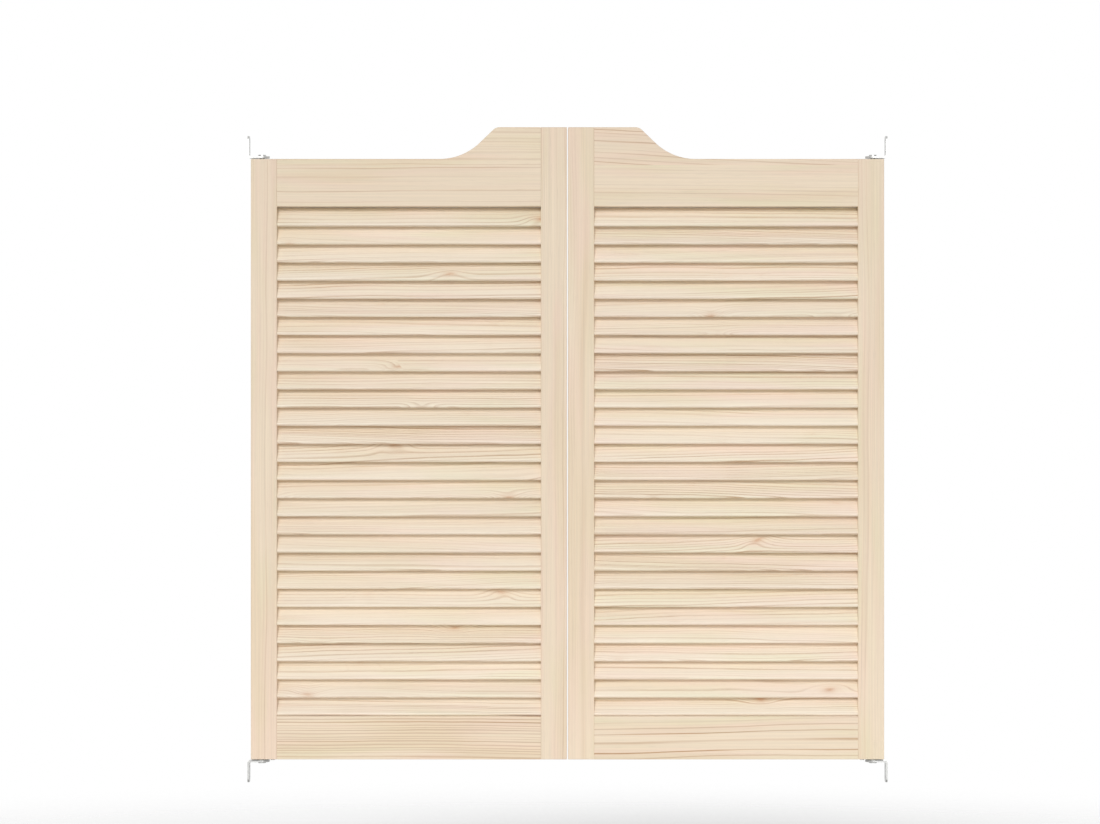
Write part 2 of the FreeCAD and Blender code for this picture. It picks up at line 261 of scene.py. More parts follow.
class PineSettings(bpy.types.PropertyGroup):
    early: colour("Early wood", "Pale wood grown in spring", srgb(235, 217, 192))
    # Slat early wood is paler than the frames' partly as the slats' own wood and partly as painted
    # light, standing in for the extra light on the slats' upward-facing faces.
    slat_early_with_painted_light: colour("Slat early wood", "Pale wood of the slats", srgb(247, 234, 214))
    blush: colour("Blush", "Tint of the pinkish patches along the grain", (1.0, 0.945, 0.965))
    straw: colour("Straw", "Tint of the greener patches along the grain", (0.955, 0.99, 0.925))
    late: colour("Late wood", "Dark line that ends each ring", srgb(182, 140, 98))
    knot: colour("Knot", "Heart of a small knot", srgb(196, 134, 82))
    wander: length("Wander", "How far the rings stray along a board", 0.014)
    slat_wander: length("Slat wander", "How far the rings stray along a slat", 0.021)
    slat_late_width: length("Slat late width", "Width of the dark part of a ring in a slat", 0.0024)
    roughness: share("Roughness", "Roughness of planed pine", 0.46)


class SlatSettings(bpy.types.PropertyGroup):
    width: length("Width", "Width of a slat from nose to nose", 0.0386)
    thickness: length("Thickness", "Thickness of a slat between its flats", 0.0068)
    nose_radius: length("Nose radius", "Radius of the rounded edges", 0.0034)
    tilt: angle("Tilt", "Angle from upright, the lower edge to the front", 34)
    nose_steps: count("Nose steps", "Straight lengths round one nose", 3, 12)


class SpringSettings(bpy.types.PropertyGroup):
    wire: length("Wire", "Width of the square wire", 0.0019)
    corner: length("Corner", "Radius of the rounded corners of the wire", 0.0003)
    coil_radius: length("Coil radius", "From the pivot axis to the middle of the wire", 0.0051)
    leg: length("Leg", "From the lower end of the wire to the middle of the first turn", 0.005)
    reach: length("Reach", "How far the upper leg reaches beyond the pivot axis", 0.004)
    bend: length("Bend", "Radius of the bends between the coil and its legs", 0.0012)
    turns: count("Turns", "Turns of the coil", 1, 8)
    turn_steps: count("Turn steps", "Straight lengths in one turn", 8, 40)


class MetalSettings(bpy.types.PropertyGroup):
    zinc: colour("Zinc", "Bright plated steel", (0.44, 0.44, 0.43))
    spring: colour("Spring steel", "Dark oiled spring", (0.16, 0.16, 0.17))
    nylon: colour("Nylon", "Washers and bushes", (0.82, 0.81, 0.76))


class StageSettings(bpy.types.PropertyGroup):
    floor_drop: length("Floor drop", "Floor below the foot of the doors", 0.35)
    floor_radius: length("Floor radius", "Radius of the round floor", 3.2)
    floor_grey: share("Floor grey", "How pale the floor is", 0.88)
    world_level: level("World level", "Strength of the light from all round", 0.20)
    key_place: place("Key place", "Front light, seen from the doors", (-1.2, -8.0, 3.3))
    key_level: level("Key level", "Strength of the front light", 1.64)
    key_spread: angle("Key spread", "How wide the front light looks from the doors", 20)
    top_place: place("Top place", "Light from above, seen from the doors", (0.5, -3.0, 6.5))
    top_level: level("Top level", "Strength of the light from above", 0.25)
    top_spread: angle("Top spread", "How wide the light from above looks from the doors", 60)
    fill_place: place("Fill place", "Low front light, seen from the doors", (1.0, -6.0, 0.6))
    fill_level: level("Fill level", "Strength of the low front light", 0.30)
    fill_spread: angle("Fill spread", "How wide the low front light looks from the doors", 10)
    back_place: place("Back place", "Light behind, seen from the doors", (1.2, 6.0, 4.6))
    back_level: level("Back level", "Strength of the light behind", 1.4)
    back_spread: angle("Back spread", "How wide the light behind looks from the doors", 25)
    side_place: place("Side place", "Right side light, seen from the doors", (8.0, 0.8, 3.6))
    side_level: level("Side level", "Strength of the light from each side", 0.55)
    side_spread: angle("Side spread", "How wide a side light looks from the doors", 15)
    pixel: length("Pixel", "Width of one picture point at the front of the doors", 0.0016875)
    lens: FloatProperty(
        name="Lens", description="Focal length of the camera", unit="CAMERA", default=120.0
    )


class DoorSettings(bpy.types.PropertyGroup):
    pine: PointerProperty(type=PineSettings)
    slats: PointerProperty(type=SlatSettings)
    spring: PointerProperty(type=SpringSettings)
    metal: PointerProperty(type=MetalSettings)
    stage: PointerProperty(type=StageSettings)


# ---------------------------------------------------------------- node helpers


class Graph:
    """Adds nodes to one node tree. A value is a plain number, a tuple or another node's output."""

    def __init__(self, tree):
        self.tree = tree

    def feed(self, socket, value):
        if isinstance(value, bpy.types.NodeSocket):
            self.tree.links.new(value, socket)
        elif socket.type == "RGBA" and len(value) == 3:
            socket.default_value = (*value, 1.0)
        else:
            socket.default_value = value

    def node(self, kind, values=None, **settings):
        """New node with these settings, its inputs fed by name or number."""
        made = self.tree.nodes.new(kind)
        for name, value in settings.items():
            setattr(made, name, value)
        for name, value in (values or {}).items():
            self.feed(made.inputs[name], value)
        return made

    def math(self, operation, *values):
        made = self.node("ShaderNodeMath", dict(enumerate(values)), operation=operation)
        return made.outputs[0]

    def vector(self, operation, *values):
        made = self.node("ShaderNodeVectorMath", dict(enumerate(values)), operation=operation)
        return made.outputs["Value" if operation == "LENGTH" else "Vector"]

    def scale(self, vector, factor):
        values = {0: vector, "Scale": factor}
        return self.node("ShaderNodeVectorMath", values, operation="SCALE").outputs["Vector"]

    def split(self, vector):
        return self.node("ShaderNodeSeparateXYZ", {0: vector}).outputs

    def join(self, x, y, z):
        return self.node("ShaderNodeCombineXYZ", {0: x, 1: y, 2: z}).outputs[0]

    def remap(self, value, low, high, new_low=0.0, new_high=1.0, kind="SMOOTHSTEP"):
        """Value carried from one range to another and held at its ends."""
        values = dict(enumerate((value, low, high, new_low, new_high)))
        return self.node("ShaderNodeMapRange", values, interpolation_type=kind).outputs[0]

    def between(self, part, low, high):
        """From low to high, evenly, as the part goes from 0 to 1."""
        return self.remap(part, 0.0, 1.0, low, high, kind="LINEAR")

    def blend(self, factor, first, second, mode="MIX"):
        values = {"Factor": factor, MIX_FIRST: first, MIX_SECOND: second}
        made = self.node("ShaderNodeMix", values, data_type="RGBA", blend_type=mode)
        return made.outputs[MIX_RESULT]

    def noise(self, vector, scale=1.0, detail=2.0, roughness=0.5):
        """Smooth noise from 0 to 1."""
        values = {"Vector": vector, "Scale": scale, "Detail": detail, "Roughness": roughness}
        return self.node("ShaderNodeTexNoise", values).outputs[0]

    def noise_line(self, value, scale):
        """Smooth noise from 0 to 1 along a line."""
        values = {"W": value, "Scale": scale, "Detail": 0.0}
        return self.node("ShaderNodeTexNoise", values, noise_dimensions="1D").outputs[0]

    def dice(self, value):
        """Three unlike numbers from 0 to 1 for a value, and one more."""
        made = self.node("ShaderNodeTexWhiteNoise", {"W": value}, noise_dimensions="1D")
        return (*self.split(made.outputs["Color"]), made.outputs["Value"])

    def bump(self, shader, height, strength, distance):
        """Feeds a shader's normal. Distance is the height of the relief in metres."""
        values = {"Height": height, "Strength": strength, "Distance": distance}
        self.feed(shader.inputs["Normal"], self.node("ShaderNodeBump", values).outputs[0])


def new_group(name, inputs, outputs):
    """Empty shader group, its graph, its input sockets by name and its output node."""
    tree = bpy.data.node_groups.new(name, "ShaderNodeTree")
    for label, kind in inputs:
        tree.interface.new_socket(label, in_out="INPUT", socket_type=kind)
    for label, kind in outputs:
        tree.interface.new_socket(label, in_out="OUTPUT", socket_type=kind)
    graph = Graph(tree)
    return graph, graph.node("NodeGroupInput").outputs, graph.node("NodeGroupOutput")


def group_named(name, make):
    return bpy.data.node_groups.get(name) or make(name)


def new_material(name):
    """Material with a fresh principled shader: the material, its graph and the shader node."""
    material = bpy.data.materials.new(name)
    material.use_nodes = True
    return material, Graph(material.node_tree), material.node_tree.nodes["Principled BSDF"]


def dress(node, material):
    """Gives a CAD node one material all over."""
    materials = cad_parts[node].data.materials
    materials.clear()
    materials.append(material)


def add_piece(name, points, faces, attributes, material):
    """New object with smooth faces. Attributes holds the values at its points by name.

    An attribute with three numbers a point is a vector, and one with a single number is a float.
    """
    mesh = bpy.data.meshes.new(name)
    mesh.from_pydata(points.tolist(), [], faces)
    for label, values in attributes.items():
        kind, field = ("FLOAT_VECTOR", "vector") if values.ndim == 2 else ("FLOAT", "value")
        layer = mesh.attributes.new(label, kind, "POINT")
        layer.data.foreach_set(field, values.astype(np.float32).ravel())
    mesh.shade_smooth()
    mesh.set_sharp_from_angle(angle=SHARP_ANGLE)
    mesh.materials.append(material)
    piece = bpy.data.objects.new(name, mesh)
    bpy.context.scene.collection.objects.link(piece)
    return piece


# ---------------------------------------------------------------- pine


def pine_group(name):
    """Wood sawn from a log.

    Plank is the place in the board in metres: x along the grain, y across its width, z through
    it. Pith is where the heart of the log lies, across and through, and how much the rings draw
    away from it along the board. The ring number is the distance from the pith, with noise and
    that drift added, over the ring spacing, and more noise makes the years unlike in width. Each
    ring ends in late wood of the late width, where it darkens, and then starts pale again.
    Evenness makes the years alike in width and in darkness. Round a knot the distance swells, so
    that the rings bend round it.
    """
    graph, given, out = new_group(
        name,
        (
            ("Plank", "NodeSocketVector"),
            ("Pith", "NodeSocketVector"),
            ("Seed", "NodeSocketFloat"),
            ("Ring Spacing", "NodeSocketFloat"),
            ("Wander", "NodeSocketFloat"),
            ("Late Width", "NodeSocketFloat"),
            ("Contrast", "NodeSocketFloat"),
            ("Evenness", "NodeSocketFloat"),
            ("Knots", "NodeSocketFloat"),
            ("End Grain", "NodeSocketFloat"),
            ("Early", "NodeSocketColor"),
            ("Blush", "NodeSocketColor"),
            ("Straw", "NodeSocketColor"),
            ("Late", "NodeSocketColor"),
            ("Knot", "NodeSocketColor"),
            ("Roughness", "NodeSocketFloat"),
        ),
        (
            ("Color", "NodeSocketColor"),
            ("Roughness", "NodeSocketFloat"),
            ("Height", "NodeSocketFloat"),
        ),
    )
    plank = given["Plank"]
    red, green, blue, start = graph.dice(given["Seed"])
    shift = graph.scale(graph.join(red, green, blue), NOISE_REACH)
    along, across, through = graph.split(plank)

    def grain(name):
        """One of the noises in the wood, from the board's own place in it."""
        lengthwise, crosswise, detail, roughness = WOOD_NOISES[name]
        scaled = graph.vector("MULTIPLY", plank, (lengthwise, crosswise, crosswise))
        moved = graph.vector("ADD", scaled, shift)
        return graph.noise(moved, detail=detail, roughness=roughness)

    # knots
    stray = graph.math("MULTIPLY_ADD", grain("knot_stray"), KNOT_STRAY, across)
    flat = graph.join(graph.math("MULTIPLY", along, KNOT_STRETCH), stray, 0.0)
    cells = graph.node(
        "ShaderNodeTexVoronoi",
        {"Vector": graph.vector("ADD", flat, shift), "Scale": KNOT_CELLS, "Randomness": 1.0},
        voronoi_dimensions="2D",
    )
    knot_distance = graph.math("DIVIDE", cells.outputs["Distance"], KNOT_CELLS)
    chance = graph.split(cells.outputs["Color"])[0]
    present = graph.math("MULTIPLY", graph.remap(chance, *KNOT_CHANCE), given["Knots"])

    def hump(width):
        """1 at a knot's middle, falling off as exp(-(distance / width) squared)."""
        square = graph.math("POWER", graph.math("DIVIDE", knot_distance, width), 2.0)
        bell = graph.math("EXPONENT", graph.math("MULTIPLY", square, -1.0))
        return graph.math("MULTIPLY", bell, present)

    swell = graph.math("MULTIPLY", hump(KNOT_BEND), KNOT_SWELL)
    stain = graph.math("MULTIPLY", hump(KNOT_STAIN), STAIN_SHARE)
    knot = graph.math("MULTIPLY_ADD", hump(KNOT_HEART), HEART_SHARE, stain)

    # distance from the pith
    pith_across, pith_through, drift = graph.split(given["Pith"])
    beside = graph.math("SUBTRACT", across, pith_across)
    behind = graph.math("SUBTRACT", through, pith_through)
    radius = graph.vector("LENGTH", graph.join(beside, behind, 0.0))
    radius = graph.math("MULTIPLY_ADD", along, drift, radius)
    slow = graph.math("SUBTRACT", grain("slow_wander"), 0.5)
    radius = graph.math("MULTIPLY_ADD", slow, given["Wander"], radius)
    quick = graph.math("SUBTRACT", grain("quick_wander"), 0.5)
    quick_wander = graph.math("MULTIPLY", given["Wander"], QUICK_SHARE)
    radius = graph.math("MULTIPLY_ADD", quick, quick_wander, radius)
    radius = graph.math("ADD", radius, swell)

    # rings
    ring = graph.math("DIVIDE", radius, given["Ring Spacing"])
    uneven = graph.noise_line(graph.math("MULTIPLY_ADD", start, YEAR_REACH, ring), YEAR_NOISE)
    unlike = graph.math("MULTIPLY_ADD", given["Evenness"], -YEAR_EVENED, YEAR_SPREAD)
    ring = graph.math("MULTIPLY_ADD", uneven, unlike, ring)
    phase = graph.math("FRACT", ring)
    late_share = graph.math("DIVIDE", given["Late Width"], given["Ring Spacing"])
    begin = graph.math("MAXIMUM", graph.math("SUBTRACT", RING_PEAK, late_share), RING_BEGIN)
    rise = graph.math("POWER", graph.remap(phase, begin, RING_PEAK), RING_POWER)
    fall = graph.remap(phase, RING_PEAK, 1.0, 1.0, 0.0)
    year = graph.math("MULTIPLY_ADD", given["Seed"], SEED_YEARS, graph.math("FLOOR", ring))
    drawn = graph.math("POWER", graph.dice(year)[3], 2.0)
    strength = graph.between(drawn, given["Evenness"], 1.0)
    late = graph.math("MULTIPLY", graph.math("MULTIPLY", rise, fall), strength)
    faintest = graph.math("MULTIPLY_ADD", given["Evenness"], 1.0 - FAINTEST, FAINTEST)
    late = graph.math("MULTIPLY", late, graph.remap(grain("fade"), *FADE_RANGE, faintest, 1.0))

    # colour
    pinker = graph.math("MULTIPLY_ADD", red, BOARD_TINT, grain("blush"))
    pink = graph.remap(pinker, *BLUSH_RANGE)
    pale = graph.blend(pink, given["Early"], given["Blush"], "MULTIPLY")
    greener = graph.math("MULTIPLY_ADD", green, BOARD_TINT, grain("straw"))
    pale = graph.blend(graph.remap(greener, *STRAW_RANGE), pale, given["Straw"], "MULTIPLY")
    wood = graph.blend(graph.math("MULTIPLY", late, given["Contrast"]), pale, given["Late"])
    wood = graph.blend(knot, wood, given["Knot"])

    # tone: fine fibres, darker resin ducts, streaks, the board's own tone and darker end grain
    fibre = grain("fibre")
    ducts = graph.remap(grain("ducts"), *DUCT_TONE)
    streaks = graph.remap(grain("streaks"), *STREAK_TONE, kind="LINEAR")
    tone = graph.math("MULTIPLY", graph.remap(fibre, *FIBRE_TONE, kind="LINEAR"), ducts)
    tone = graph.math("MULTIPLY", tone, streaks)
    tone = graph.math("MULTIPLY", tone, graph.between(blue, *BOARD_TONE))
    tone = graph.math("MULTIPLY", tone, graph.between(given["End Grain"], *END_GRAIN_TONE))
    graph.feed(out.inputs["Color"], graph.scale(wood, tone))

    # surface: late wood is harder and shines more, and both it and the fibres stand out
    shine = graph.math("MULTIPLY_ADD", late, -LATE_GLOSS, given["Roughness"])
    rough = graph.math("MULTIPLY_ADD", fibre, FIBRE_ROUGHNESS, shine)
    graph.feed(out.inputs["Roughness"], rough)
    ridges = graph.math("MULTIPLY", late, LATE_RELIEF)
    graph.feed(out.inputs["Height"], graph.math("MULTIPLY_ADD", fibre, FIBRE_RELIEF, ridges))
    return graph.tree


def finish_pine(graph, shader, plank, pine, early, cut, end_grain=0.0):
    """Feeds the shader of one pine material from the pine group.

    Cut holds the rest of the group's inputs by name, and may replace the settings' wander.
    """
    values = {
        "Plank": plank,
        "Wander": pine.wander,
        "End Grain": end_grain,
        "Early": tuple(early),
        "Blush": tuple(pine.blush),
        "Straw": tuple(pine.straw),
        "Late": tuple(pine.late),
        "Knot": tuple(pine.knot),
        "Roughness": pine.roughness,
        **cut,
    }
    wood = graph.node("ShaderNodeGroup", values, node_tree=group_named("Pine", pine_group))
    graph.feed(shader.inputs["Base Color"], wood.outputs["Color"])
    graph.feed(shader.inputs["Roughness"], wood.outputs["Roughness"])
    graph.bump(shader, wood.outputs["Height"], strength=0.35, distance=0.00012)


def cut_of(node):
    """How one board was sawn, as inputs of the pine group, from the table of cuts."""
    seed, across, through, drift, spacing, late_width, contrast, evenness, knots = CUTS[node]
    return {
        "Seed": seed,
        "Pith": (across, through, drift),
        "Ring Spacing": spacing,
        "Late Width": late_width,
        "Contrast": contrast,
        "Evenness": evenness,
        "Knots": knots,
    }


def board_material(node, upright, pine):
    """Pine for one straight board. Its grain runs up the board or across the leaf.

    End grain is how squarely a face looks along the grain.
    """
    material, graph, shader = new_material("pine_" + node)
    low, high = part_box(node)
    spot = graph.node("ShaderNodeTexCoord").outputs
    x, y, z = graph.split(graph.vector("SUBTRACT", spot["Object"], tuple((low + high) / 2)))
    normal_x, _, normal_z = graph.split(spot["Normal"])
    plank = graph.join(z, x, y) if upright else graph.join(x, z, y)
    end_grain = graph.math("ABSOLUTE", normal_z if upright else normal_x)
    finish_pine(graph, shader, plank, pine, pine.early, cut_of(node), end_grain)
    return material


# ---------------------------------------------------------------- slats


def slat_section(slats):
    """Outline of a slat: along its width and through it, round the lower nose and then the upper.

    A nose is an arc of the nose radius whose middle lies on the slat's centre line, from one
    flat to the other.
    """
    tip = slats.width / 2
    half_angle = math.asin(min(1.0, slats.thickness / 2 / slats.nose_radius))
    turn = np.linspace(-half_angle, half_angle, slats.nose_steps + 1)
    along = tip - slats.nose_radius + slats.nose_radius * np.cos(turn)
    through = slats.nose_radius * np.sin(turn)
    return np.concatenate((np.stack((-along, through), 1), np.stack((along, -through), 1)))


def pair_node(side, first):
    """Name of the CAD node that holds the slat of that number and the one below it."""
    return f"{side}_slats_{first:02d}_{first + 1:02d}"


def slat_places(side):
    """Middle height and left and right end of each slat of one leaf, from the top down."""
    boxes = [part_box(pair_node(side, first)) for first in PAIRS]
    centres = [(low.z + high.z) / 2 for low, high in boxes]
    pitch = (centres[0] - centres[-1]) / (len(centres) - 1) / 2
    return [
        (centre + offset, low.x, high.x)
        for centre, (low, high) in zip(centres, boxes)
        for offset in (pitch / 2, -pitch / 2)
    ]


def slat_surface(slats, centre_z, left, right):
    """One slat: its section, tilted, carried from the left end to the right.

    Gives the points, the long faces, the section as one end face, and each point's place in the
    wood: its x, and its place along and through the section.
    """
    section = slat_section(slats)
    along, through = section[:, 0], section[:, 1]
    sine, cosine = math.sin(slats.tilt), math.cos(slats.tilt)
    y = along * sine - through * cosine
    z = centre_z + along * cosine + through * sine
    ends = [np.stack((np.full_like(y, x), y, z), 1) for x in (left, right)]
    around = len(section)
    ring = np.arange(around)
    after = (ring + 1) % around
    sides = np.stack((ring, ring + around, after + around, after), 1)
    grain = np.stack(
        (np.repeat((left, right), around), np.tile(along, 2), np.tile(through, 2)), 1
    )
    return np.concatenate(ends), sides, ring, grain


def build_slats(name, slats, places, seeds, material):
    """One object that holds several slats, each with its own place in the wood and seed."""
    points, faces, grains, boards = [], [], [], []
    for (centre_z, left, right), seed in zip(places, seeds):
        vertices, sides, ring, grain = slat_surface(slats, centre_z, left, right)
        base = sum(len(part) for part in points)
        points.append(vertices)
        grains.append(grain)
        boards.append(np.full(len(vertices), float(seed)))
        faces += (sides + base).tolist()
        faces.append((ring + base).tolist())
        faces.append((ring[::-1] + len(ring) + base).tolist())
    attributes = {"plank": np.concatenate(grains), "board": np.concatenate(boards)}
    return add_piece(name, np.concatenate(points), faces, attributes, material)


def slat_material(pine):
    """Pine for the slats, each sawn from its own place in the log, drawn from its board number.

    A draw's share from 0 to 1 gives the place in each of the slats' ranges. The pith lies on
    either side of the slat, and the late wood shows more in slats whose rings draw away more.
    """
    material, graph, shader = new_material("pine_slats")
    plank = graph.node("ShaderNodeAttribute", attribute_name="plank").outputs["Vector"]
    board = graph.node("ShaderNodeAttribute", attribute_name="board").outputs["Fac"]
    side, reach, lean, depth = graph.dice(graph.math("ADD", board, 0.5))
    sign = graph.math("SIGN", graph.math("SUBTRACT", side, 0.5))
    across = graph.math("MULTIPLY", sign, graph.between(reach, *SLAT_PITH_ACROSS))
    through = graph.between(depth, *SLAT_PITH_THROUGH)
    cut = {
        "Seed": board,
        "Pith": graph.join(across, through, graph.between(lean, *SLAT_DRIFT)),
        "Ring Spacing": graph.between(side, *SLAT_RING_SPACING),
        "Wander": pine.slat_wander,
        "Late Width": pine.slat_late_width,
        "Contrast": graph.between(lean, *SLAT_CONTRAST),
        "Evenness": graph.between(reach, *SLAT_EVENNESS),
        "Knots": SLAT_KNOTS,
    }
    # The slats' paler early wood is partly painted light, for their upward-facing faces.
    finish_pine(graph, shader, plank, pine, pine.slat_early_with_painted_light, cut)
    return material


# ---------------------------------------------------------------- springs


def even_steps(start, end, steps):
    """Numbers from the start to the end in even steps, the start left out."""
    return np.linspace(start, end, steps + 1)[1:]


def spring_path(spring, low_z, high_z):
    """Middle line of the wire about an upright axis at zero, and the angle that its outside faces.

    On the unrolled cylinder of the coil radius the lower leg rises straight, a quarter arc of the
    bend radius turns it level, and a straight climb makes the coil. Then a level arc, tangent to
    the coil and to the upper leg, turns the wire inwards, and the leg crosses the axis.
    """
    radius, bend = spring.coil_radius, spring.bend
    leg_top = low_z + spring.leg - bend
    coil_low = leg_top + bend
    coil_high = high_z - spring.wire / 2
    coil_start = bend / radius
    lead = math.asin(bend / (radius - bend))
    coil_end = 2 * math.pi * spring.turns - lead

    turn = even_steps(0, math.pi / 2, BEND_STEPS)
    coil_steps = spring.turns * spring.turn_steps
    bend_around = coil_start * (1 - np.cos(turn))
    bend_height = leg_top + bend * np.sin(turn)
    coil_around = even_steps(coil_start, coil_end, coil_steps)
    coil_height = even_steps(coil_low, coil_high, coil_steps)
    around = np.concatenate(((0, 0), bend_around, coil_around))
    height = np.concatenate(((low_z, leg_top), bend_height, coil_height))
    coil = np.stack((radius * np.cos(around), radius * np.sin(around), height), 1)

    facing = even_steps(-lead, math.pi / 2, INWARD_STEPS)
    middle_x = (radius - bend) * math.cos(lead)
    middle_y = -(radius - bend) * math.sin(lead)
    arc_x = middle_x + bend * np.cos(facing)
    arc_y = middle_y + bend * np.sin(facing)
    arc = np.stack((arc_x, arc_y, np.full_like(facing, coil_high)), 1)
    tip = np.array(((-spring.reach, 0, coil_high),))
    outside = np.concatenate((around, facing, (math.pi / 2,)))
    return np.concatenate((coil, arc, tip)), outside


def wire_section(spring):
    """Square outline of the wire, outwards and upwards. Its corners are quarter arcs."""
    corner = np.arange(4)[:, None] * math.pi / 2
    turn = corner + np.linspace(0, math.pi / 2, CORNER_STEPS + 1)
    middle = (spring.wire / 2 - spring.corner) * math.sqrt(2)
    outwards = middle * np.cos(corner + math.pi / 4) + spring.corner * np.cos(turn)
    upwards = middle * np.sin(corner + math.pi / 4) + spring.corner * np.sin(turn)
    return outwards.ravel(), upwards.ravel()


def build_spring(name, spring, low_z, high_z, axis_x, hand, material):
    """The wire's section carried along its path. Hand is 1, or -1 for the mirror image."""
    path, outside = spring_path(spring, low_z, high_z)
    ahead = np.gradient(path, axis=0)
    ahead /= np.linalg.norm(ahead, axis=1, keepdims=True)
    side = np.stack((np.cos(outside), np.sin(outside), np.zeros_like(outside)), 1)
    up = np.cross(side, ahead)
    outwards, upwards = wire_section(spring)
    points = path[:, None] + side[:, None] * outwards[:, None] + up[:, None] * upwards[:, None]
    points[..., 0] = axis_x + hand * points[..., 0]
    rings, around = points.shape[:2]
    corner = np.arange(rings * around).reshape(rings, around)
    after = np.roll(corner, -1, axis=1)
    walls = np.stack((corner[:-1], corner[1:], after[1:], after[:-1]), 2).reshape(-1, 4)
    faces = [*walls.tolist(), corner[0].tolist(), corner[-1][::-1].tolist()]
    if hand < 0:
        faces = [face[::-1] for face in faces]
    points = points.reshape(-1, 3)
    return add_piece(name, points, faces, {"rest": points}, material)


# ---------------------------------------------------------------- metal and nylon


def wear_group(name):
    """Rubbed patches and fine specks: two noises of the given place times the scale."""
    graph, given, out = new_group(
        name,
        (("Place", "NodeSocketVector"), ("Scale", "NodeSocketFloat")),
        (("Rubbed", "NodeSocketFloat"), ("Specks", "NodeSocketFloat")),
    )
    spot = graph.scale(given["Place"], given["Scale"])
    patches = graph.noise(spot, scale=0.35, detail=4.0, roughness=0.6)
    grit = graph.noise(spot, scale=4.0, detail=2.0, roughness=0.7)
    graph.feed(out.inputs["Rubbed"], graph.remap(patches, *RUBBED_RANGE))
    graph.feed(out.inputs["Specks"], graph.remap(grit, *SPECK_RANGE))
    return graph.tree


def worn_material(name, base, scale, metallic, roughness, change, dark, attribute=None):
    """Plain material with rubbed and speckled places.

    Change is how far rubbing smooths it and specks roughen it, and dark how far the specks darken
    it. The places come from the attribute of that name, or else from Object coordinates.
    """
    material, graph, shader = new_material(name)
    if attribute:
        spot = graph.node("ShaderNodeAttribute", attribute_name=attribute).outputs["Vector"]
    else:
        spot = graph.node("ShaderNodeTexCoord").outputs["Object"]
    values = {"Place": spot, "Scale": scale}
    wear = graph.node("ShaderNodeGroup", values, node_tree=group_named("Wear", wear_group))
    rubbed, specks = wear.outputs["Rubbed"], wear.outputs["Specks"]
    speck_colour = tuple(part * SPECK_SHADE for part in base)
    shade = graph.blend(graph.math("MULTIPLY", specks, dark), base, speck_colour)
    graph.feed(shader.inputs["Base Color"], shade)
    smoothed = graph.math("MULTIPLY_ADD", rubbed, -change, roughness)
    graph.feed(shader.inputs["Roughness"], graph.math("MULTIPLY_ADD", specks, change, smoothed))
    graph.bump(shader, specks, strength=0.2, distance=0.00005)
    shader.inputs["Metallic"].default_value = metallic
    return material


# ---------------------------------------------------------------- stage


def aim(thing, spot, target):
    """Puts a light or camera at a spot and turns it to the target."""
    thing.location = spot
    thing.rotation_euler = (Vector(target) - Vector(spot)).to_track_quat("-Z", "Y").to_euler()


def add_light(name, target, offset, strength, spread):
    """Sun that lights the whole object evenly, shining from the offset towards the target."""
    light = bpy.data.lights.new(name, "SUN")
    light.energy = strength
    light.angle = spread
    holder = bpy.data.objects.new(name, light)
    bpy.context.scene.collection.objects.link(holder)
    aim(holder, target + Vector(offset), target)


def light_world(strength):
    """White where the camera or a reflection looks, and an even glow for everything else."""
    world = bpy.data.worlds.new("studio")
    bpy.context.scene.world = world
    world.use_nodes = True
    graph = Graph(world.node_tree)
    backdrop = world.node_tree.nodes["Background"]
    rays = graph.node("ShaderNodeLightPath").outputs
    seen = graph.math("MAXIMUM", rays["Is Camera Ray"], rays["Is Glossy Ray"])
    seen = graph.math("MAXIMUM", seen, rays["Is Transmission Ray"])
    backdrop.inputs["Color"].default_value = (1, 1, 1, 1)
    graph.feed(backdrop.inputs["Strength"], graph.between(seen, strength, 1.0))


def floor_material(grey, radius):
    """Pale floor, faintly mottled, that fades into the backdrop towards its rim."""
    material, graph, shader = new_material("studio_floor")
    spot = graph.node("ShaderNodeTexCoord").outputs["Object"]
    reach = graph.vector("LENGTH", graph.vector("MULTIPLY", spot, (1, 1, 0)))
    fade_start, fade_end = FLOOR_FADE
    fade = graph.remap(reach, radius * fade_start, radius * fade_end, 1.0, 0.0)
    mottle = graph.noise(spot, scale=3.0, detail=3.0)
    pale = graph.remap(mottle, 0.3, 0.7, grey * FLOOR_MOTTLE, grey, kind="LINEAR")
    graph.feed(shader.inputs["Base Color"], graph.join(pale, pale, pale))
    shader.inputs["Roughness"].default_value = 0.9
    shader.inputs["Specular IOR Level"].default_value = 0.1
    graph.feed(shader.inputs["Alpha"], fade)
    return material


def add_floor(settings, centre_x, foot_z):
    """Round floor below the doors: a flat face with many equal sides."""
    mesh = bpy.data.meshes.new("floor")
    turn = np.linspace(0, 2 * math.pi, FLOOR_SIDES, endpoint=False)
    rim = np.stack((np.cos(turn), np.sin(turn), np.zeros_like(turn)), 1) * settings.floor_radius
    mesh.from_pydata(rim.tolist(), [], [list(range(FLOOR_SIDES))])
    mesh.materials.append(floor_material(settings.floor_grey, settings.floor_radius))
    floor = bpy.data.objects.new("floor", mesh)
    floor.location = (centre_x, 0, foot_z - settings.floor_drop)
    bpy.context.scene.collection.objects.link(floor)


def add_camera(settings, centre_x, foot_z, front_y):
    """Level camera that looks along +Y, at the distance that gives a picture point its width."""
    camera = bpy.data.cameras.new("camera")
    camera.lens = settings.lens
    camera.clip_end = 100
    distance = settings.pixel * PICTURE_WIDTH * camera.lens / camera.sensor_width
    holder = bpy.data.objects.new("camera", camera)
    bpy.context.scene.collection.objects.link(holder)
    x = centre_x - (MIDLINE_FROM_LEFT - PICTURE_MIDDLE[0]) * settings.pixel
    z = foot_z + (FOOT_FROM_TOP - PICTURE_MIDDLE[1]) * settings.pixel
    aim(holder, (x, front_y - distance, z), (x, 0, z))
    bpy.context.scene.camera = holder


# ---------------------------------------------------------------- operators


